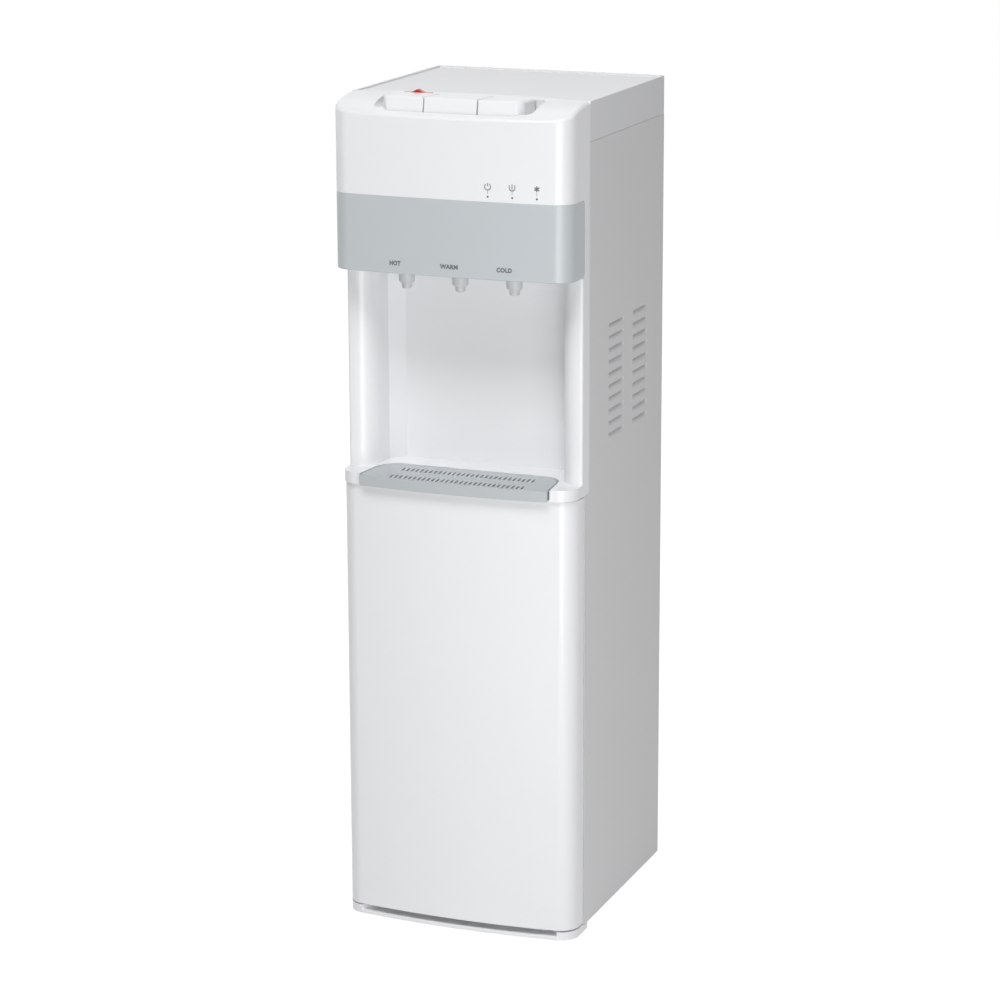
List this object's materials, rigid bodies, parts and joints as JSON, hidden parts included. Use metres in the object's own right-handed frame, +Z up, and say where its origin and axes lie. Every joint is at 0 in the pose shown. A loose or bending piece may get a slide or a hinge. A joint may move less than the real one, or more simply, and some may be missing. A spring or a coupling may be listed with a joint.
{
  "type": "water dispenser",
  "caption": "Free-standing bottom-loading water dispenser with a recessed dispensing alcove, push buttons on a crowned top, a drip tray and a hinged lower door.",
  "frame": {"origin": "centre of the bounding box on the floor, under the cabinet", "axes": "+Z up, the front with the taps faces -Y, the viewer's right is +X"},
  "size_m": [0.31, 0.35, 1.055],
  "materials": {
    "white_panel": "glossy white moulding",
    "white_steel": "white painted sheet steel",
    "grey_panel": "grey moulding with a soft sheen",
    "grille_grey": "grey moulding",
    "nozzle_grey": "light grey moulding",
    "lock_red": "red moulding",
    "dark_plastic": "black moulding",
    "galvanised": "galvanised sheet",
    "stainless": "stainless steel",
    "plain_steel": "bright steel",
    "black_steel": "black paint",
    "copper": "copper tube",
    "foam": "closed-cell foam",
    "rubber_black": "black rubber",
    "silicone": "translucent silicone hose",
    "lamp_green": "smoked light pipe"
  },
  "bodies": {
    "cabinet": {"base_pan": "white_panel", "rubber_feet": "rubber_black", "side_panel_right": "white_steel", "side_panel_left": "white_steel", "panel_screws": "plain_steel", "back_panel": "galvanised", "top_cover": "white_panel", "upper_fascia": "white_panel", "tap_panel": "grey_panel", "alcove_panel": "white_panel", "hinge_pins": "plain_steel", "door_magnet": "dark_plastic", "button_shaft": "plain_steel", "button_carrier": "dark_plastic", "indicator_lamps": "lamp_green", "deck_shelf": "galvanised", "tank_shelf": "galvanised", "cold_tank": "stainless", "hot_tank": "stainless", "cold_tank_insulation": "foam", "hot_tank_insulation": "foam", "heater_band": "plain_steel", "evaporator_coil": "copper", "water_hoses": "silicone", "hose_clips": "plain_steel", "compressor": "black_steel", "compressor_grommets": "rubber_black", "start_relay": "dark_plastic", "condenser": "black_steel", "condenser_brackets": "dark_plastic", "filter_drier": "copper", "refrigerant_pipes": "copper", "water_pump": "dark_plastic", "probe_holder": "white_panel", "suction_drop": "silicone", "switch_housings": "dark_plastic", "cord_gland": "dark_plastic", "drain_pipes": "silicone", "tap_valves": "white_panel", "nozzles": "nozzle_grey", "spring_hot": "plain_steel", "spring_warm": "plain_steel", "spring_cold": "plain_steel"},
    "door": {"door_skin": "white_panel", "door_inner_panel": "white_panel", "strike_plate": "plain_steel"},
    "tray": {"drip_tray": "grille_grey"},
    "grille": {"drip_grille": "grille_grey"},
    "lock": {"child_lock": "lock_red"},
    "hot_rocker": {"rocker_switch_hot": "lock_red"},
    "cold_rocker": {"rocker_switch_cold": "dark_plastic"},
    "hot_drain_cap": {"drain_cap_hot": "dark_plastic"},
    "cold_drain_cap": {"drain_cap_cold": "dark_plastic"},
    "probe": {"suction_probe": "white_panel"},
    "hot_button": {"button_hot": "white_panel"},
    "hot_rod": {"push_rod_hot": "white_panel"},
    "warm_button": {"button_warm": "white_panel"},
    "warm_rod": {"push_rod_warm": "white_panel"},
    "cold_button": {"button_cold": "white_panel"},
    "cold_rod": {"push_rod_cold": "white_panel"}
  },
  "joints": [
    {"name": "door_hinge", "type": "hinge", "parent": "cabinet", "child": "door", "pos_m": [0.149, -0.124, 0.29], "axis": [0, 0, 1], "range_deg": [0, 100]},
    {"name": "tray_slide", "type": "slide", "parent": "cabinet", "child": "tray", "axis": [0, -1, 0], "range_m": [0, 0.08]},
    {"name": "grille_lift", "type": "slide", "parent": "tray", "child": "grille", "axis": [0, 0, 1], "range_m": [0, 0.03]},
    {"name": "lock_slide", "type": "slide", "parent": "cabinet", "child": "lock", "axis": [1, 0, 0], "range_m": [-0.007, 0.007]},
    {"name": "hot_button_press", "type": "hinge", "parent": "cabinet", "child": "hot_button", "pos_m": [-0.0705, -0.11, 1.03], "axis": [1, 0, 0], "range_deg": [0, 7], "stiffness_Nm_per_rad": 1, "springref_deg": -3.44},
    {"name": "hot_rod_slide", "type": "slide", "parent": "cabinet", "child": "hot_rod", "axis": [0, 0, -1], "range_m": [0, 0.00295], "stiffness_N_per_m": 30, "springref_m": -0.0005, "deforming": ["spring_hot"]},
    {"name": "warm_button_press", "type": "hinge", "parent": "cabinet", "child": "warm_button", "pos_m": [0, -0.11, 1.03], "axis": [1, 0, 0], "range_deg": [0, 7], "stiffness_Nm_per_rad": 1, "springref_deg": -3.44},
    {"name": "warm_rod_slide", "type": "slide", "parent": "cabinet", "child": "warm_rod", "axis": [0, 0, -1], "range_m": [0, 0.00295], "stiffness_N_per_m": 30, "springref_m": -0.0005, "deforming": ["spring_warm"]},
    {"name": "cold_button_press", "type": "hinge", "parent": "cabinet", "child": "cold_button", "pos_m": [0.0705, -0.11, 1.03], "axis": [1, 0, 0], "range_deg": [0, 7], "stiffness_Nm_per_rad": 1, "springref_deg": -3.44},
    {"name": "cold_rod_slide", "type": "slide", "parent": "cabinet", "child": "cold_rod", "axis": [0, 0, -1], "range_m": [0, 0.00295], "stiffness_N_per_m": 30, "springref_m": -0.0005, "deforming": ["spring_cold"]},
    {"name": "hot_rocker_tilt", "type": "hinge", "parent": "cabinet", "child": "hot_rocker", "pos_m": [-0.095, 0.1513, 0.96], "axis": [1, 0, 0], "range_deg": [0, 20]},
    {"name": "cold_rocker_tilt", "type": "hinge", "parent": "cabinet", "child": "cold_rocker", "pos_m": [-0.065, 0.1513, 0.96], "axis": [1, 0, 0], "range_deg": [0, 20]},
    {"name": "hot_drain_cap_pull", "type": "slide", "parent": "cabinet", "child": "hot_drain_cap", "axis": [0, 1, 0], "range_m": [0, 0.02]},
    {"name": "cold_drain_cap_pull", "type": "slide", "parent": "cabinet", "child": "cold_drain_cap", "axis": [0, 1, 0], "range_m": [0, 0.02]},
    {"name": "probe_lift", "type": "slide", "parent": "cabinet", "child": "probe", "axis": [0, 0, 1], "range_m": [0, 0.02], "deforming": ["suction_drop"]}
  ],
  "couplings": [
    {"joint": "hot_rod_slide", "follows": "hot_button_press", "m_per_rad": 0.024},
    {"joint": "warm_rod_slide", "follows": "warm_button_press", "m_per_rad": 0.024},
    {"joint": "cold_rod_slide", "follows": "cold_button_press", "m_per_rad": 0.024}
  ]
}
